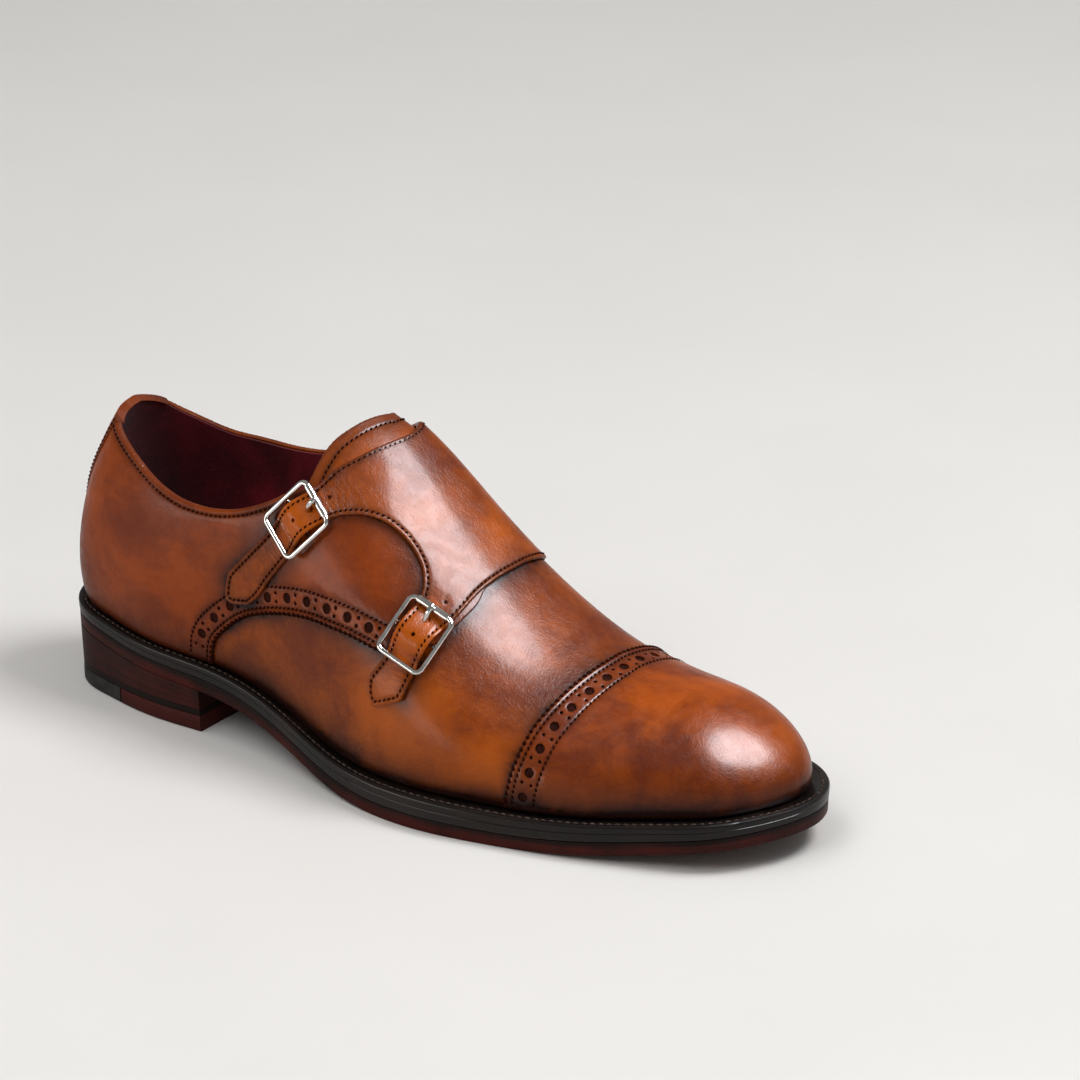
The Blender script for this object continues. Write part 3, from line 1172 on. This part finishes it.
def stackProfile():
    # the stack fills up to the outsole, so its heights are shares of the space there
    shares = [(9, 0.0), (1.5, 0.0)]
    for k in range(stackLook["lifts"]):
        a, b = k / stackLook["lifts"], (k + 1) / stackLook["lifts"]
        for u in (a + 0.012, a + 0.035, b - 0.035, b - 0.012):
            deep = 0.51 if u in (a + 0.012, b - 0.012) else 0.5
            shares.append((deep + stackLook["taper"] * (1 - u), u))
    shares += [(0.55, 1.0), (9, 1.0)]
    low = soleLook["topPiece"] + soleLook["gap"]
    return [(inward, lambda x, u=u: low + (soleZ(x) - stackLook["under"] - low) * u) for inward, u in shares]


stackPiece = soleSlab("heel_lifts", 0, soleLook["breast"], stackProfile(), heelEdge)
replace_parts(stackPiece, "heel_stack")
topProfile = [(9, 0.0), (2.0, 0.0), (1.5, 0.3), (1.25, 0.9), (1.2, 2.5), (1.15, 5.2), (1.35, 5.85), (1.7, 6.0),
              (9, 6.0)]
rubberPiece = soleSlab("heel_rubber_quarter", 0, soleLook["rubber"], topProfile, rubber)
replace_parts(rubberPiece, "heel_rubber")
leatherPiece = soleSlab("heel_bottom_lift", soleLook["rubber"] + 0.2, soleLook["breast"], topProfile, redLift)
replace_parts(leatherPiece, "heel_top_piece")

ring = np.linspace(0, 2 * toe, 900)
x, y = rimPoint(ring, weltOut(ring) - 2.35)
weltPath = np.stack([x - middle[0], y - middle[1], between(0.96)(x)], 1)
sewn("welt_stitching", [(weltPath, np.tile([[0.0, 0.0, 1.0]], (len(ring), 1)))], weltThread,
     weltSewing)

# buckles
buckleLook = {"halfLong": 10.7, "halfWide": 9.0, "corner": 2.4, "wire": 0.95, "bar": 0.8, "barLift": 1.9,
              "roller": 1.4, "rollerHalf": 6.6, "prong": 0.85}


def nickelMaterial():
    material, w, shader = newMaterial("polished_nickel", 0.1, metal=1.0)
    haze = w.noise(w.place(), 220, 3, 0.6)
    scratch = w.noise(w.place((1, 0.06, 1), (0.4, 0.2, 0.9)), 3000, 2, 0.5)
    colour = w.mix(w.span(haze, 0.35, 0.7), (0.66, 0.645, 0.62), (0.50, 0.485, 0.46))
    w.link(colour, shader.inputs["Base Color"])
    w.link(w.span(haze, 0.3, 0.7, 0.03, 0.08), shader.inputs["Roughness"])
    bump(w, shader, scratch, 0.06, 0.0001)
    return material


nickel = nickelMaterial()


def rod(path, radii, sides=16, closed=False, flatWay=None):
    # a round wire bent along a path
    path = np.array(path, float)
    n = len(path)
    points, faces = [], []
    side = None
    for i in range(n):
        ahead = path[(i + 1) % n] if closed or i + 1 < n else path[i]
        behind = path[i - 1] if closed or i else path[i]
        way = unit(ahead - behind)
        if flatWay is not None:
            side = np.cross(flatWay, way)
        elif side is None:
            side = np.cross((0.3, 0.9, 0.1), way)
        else:
            side = side - way * dot(side, way)
        side = unit(side)
        other = np.cross(way, side)
        for turn in 2 * np.pi * np.arange(sides) / sides:
            points.append(path[i] + radii[i] * (side * np.cos(turn) + other * np.sin(turn)))
    for i in range(n if closed else n - 1):
        for k in range(sides):
            l, j = (k + 1) % sides, (i + 1) % n
            faces.append((i * sides + k, i * sides + l, j * sides + l, j * sides + k))
    if not closed:
        faces.append(tuple(reversed(range(sides))))
        faces.append(tuple((n - 1) * sides + k for k in range(sides)))
    return points, faces


def frameOutline(look):
    # a rectangle with round corners, in mm from the buckle's middle
    corners = []
    for i, (sx, sy) in enumerate(((-1, -1), (1, -1), (1, 1), (-1, 1))):
        turn = math.radians(180 + 90 * i) + np.linspace(0, math.pi / 2, 9)
        corners.append(np.stack([sx * (look["halfLong"] - look["corner"]) + look["corner"] * np.cos(turn),
                                 sy * (look["halfWide"] - look["corner"]) + look["corner"] * np.sin(turn)], 1))
    for corner, following in zip(corners, corners[1:] + corners[:1]):
        yield from corner
        for u in (0.25, 0.5, 0.75):
            yield corner[-1] + (following[0] - corner[-1]) * u


for b in buckles:
    look, lift = buckleLook, b["lift"]
    loop = [overBuckle(b, x, y, lift) for x, y in frameOutline(look)]
    points, faces = rod(loop, [look["wire"]] * len(loop), closed=True, flatWay=b["normal"])
    bar = [(-look["halfWide"], lift), (-7.4, 2.4), (-6.9, look["barLift"])]
    bar = [overBuckle(b, 0, y, up) for y, up in bar + [(-y, up) for y, up in reversed(bar)]]
    barPoints, barFaces = rod(bar, [look["bar"]] * len(bar))
    faces += [tuple(len(points) + k for k in face) for face in barFaces]
    piece = makePiece("buckle_" + b["name"], points + barPoints, faces, nickel)
    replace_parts(piece, "buckle_frame_" + b["name"])

    half, radius = look["rollerHalf"], look["roller"]
    ys = [-half, -half, -half + 0.25, half - 0.25, half, half]
    roller = np.array([overBuckle(b, -look["halfLong"], y, lift) for y in ys])
    roller += np.outer([0, 0.001, 0.002, 0.002, 0.003, 0.004], b["v"])  # keeps the end faces apart
    points, faces = rod(roller, [1.12, radius - 0.25, radius, radius, radius - 0.25, 1.12], 24)
    piece = makePiece("roller_" + b["name"], points, faces, nickel, crease=40)
    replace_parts(piece, "buckle_roller_" + b["name"])

    rest = lift + radius + look["prong"] + 0.05
    # place along the strap, height and half width of the prong
    spots = [(-2.2, 1.3, 0.8), (-4.2, 1.9, 1.0), (-5.8, 3.2, 1.05), (-7.0, rest - 1.5, 1.05),
             (-8.3, rest - 0.6, 1.05), (-9.6, rest - 0.08, 1.0), (-10.6, rest, 0.95),
             (-11.6, rest - 0.15, 0.75), (-12.1, rest - 0.35, 0.4)]
    prong = [lastPoint(*onStrap(b, x, 0)) + b["normal"] * up if up < 2 else overBuckle(b, x, 0, up)
             for x, up, wide in spots]
    points, faces = rod(prong, [wide for x, up, wide in spots], 14)
    piece = makePiece("prong_" + b["name"], points, faces, nickel)
    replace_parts(piece, "buckle_prong_" + b["name"])
print("buckles bent")

# floor, light and camera
stageLook = {"size": 12.0, "colour": (0.745, 0.73, 0.71)}
floorMesh = bpy.data.meshes.new("floor")
half = stageLook["size"] / 2
floorMesh.from_pydata([(-half, -half, 0), (half, -half, 0), (half, half, 0), (-half, half, 0)], [],
                      [(0, 1, 2, 3)])
floor = bpy.data.objects.new("floor", floorMesh)
bpy.context.scene.collection.objects.link(floor)
floorMaterial, w, shader = newMaterial("paper_floor", 0.75, specular=0.2)
w.link(w.mix(w.span(w.noise(w.place(), 6, 3, 0.5), 0.3, 0.7), stageLook["colour"],
             tuple(c * 0.97 for c in stageLook["colour"])), shader.inputs["Base Color"])
floorMesh.materials.append(floorMaterial)

world = bpy.data.worlds.new("studio")
bpy.context.scene.world = world
world.use_nodes = True
background = world.node_tree.nodes["Background"]
background.inputs["Color"].default_value = (1.0, 0.985, 0.965, 1)
background.inputs["Strength"].default_value = 0.3


def aimed(turn, up, away):
    # a place round the shoe: turn as the camera's, up above the floor, in degrees and m
    turn, up = math.radians(turn), math.radians(up)
    return Vector((away * math.sin(turn) * math.cos(up), -away * math.cos(turn) * math.cos(up),
                   away * math.sin(up)))


# sizes in m, power in W; a shine is seen only as a highlight, the others only as light
softboxes = {
    "key": {"place": (118, 61, 2.0), "aim": (0.04, 0, 0.06), "size": (0.85, 0.75), "power": 23},
    "keyShine": {"place": (101, 59, 2.0), "aim": (0.04, 0, 0.06), "size": (1.5, 1.35), "power": 280,
                 "colour": (0.91, 0.94, 1.0), "shine": True},
    "lowShine": {"place": (-32, 3, 1.9), "aim": (0, 0, 0.05), "size": (1.55, 0.6), "power": 17,
                 "colour": (1.0, 0.93, 0.88), "shine": True},
    "frontFill": {"place": (0, 50, 2.2), "aim": (0, 0, 0.04), "size": (1.2, 1.2), "power": 12.5},
    "topFill": {"place": (-60, 70, 2.4), "aim": (0, 0, 0), "size": (1.2, 1.2), "power": 9},
}
for name, look in softboxes.items():
    data = bpy.data.lights.new(name, "AREA")
    data.shape = "ELLIPSE"
    data.size, data.size_y = look["size"]
    data.energy = look["power"]
    data.color = look.get("colour", (1, 1, 1))
    light = bpy.data.objects.new(name, data)
    bpy.context.scene.collection.objects.link(light)
    light.location = aimed(*look["place"])
    light.rotation_euler = (Vector(look["aim"]) - light.location).to_track_quat("-Z", "Y").to_euler()
    light.visible_diffuse = not look.get("shine", False)
    light.visible_glossy = look.get("shine", False)

cameraLook = {"turn": 34.9, "up": 22.4, "away": 1.834, "lens": 180.3, "target": (0.0414, 0.0046, 0.0895)}
back = aimed(cameraLook["turn"], cameraLook["up"], 1)
cameraData = bpy.data.cameras.new("camera")
cameraData.lens = cameraLook["lens"]
cameraData.sensor_width = 36
cameraData.clip_end = 50
camera = bpy.data.objects.new("camera", cameraData)
bpy.context.scene.collection.objects.link(camera)
camera.location = Vector(cameraLook["target"]) + back * cameraLook["away"]
camera.rotation_euler = back.to_track_quat("Z", "Y").to_euler()
bpy.context.scene.camera = camera
bpy.context.scene.view_settings.view_transform = "Standard"
print("stage set")
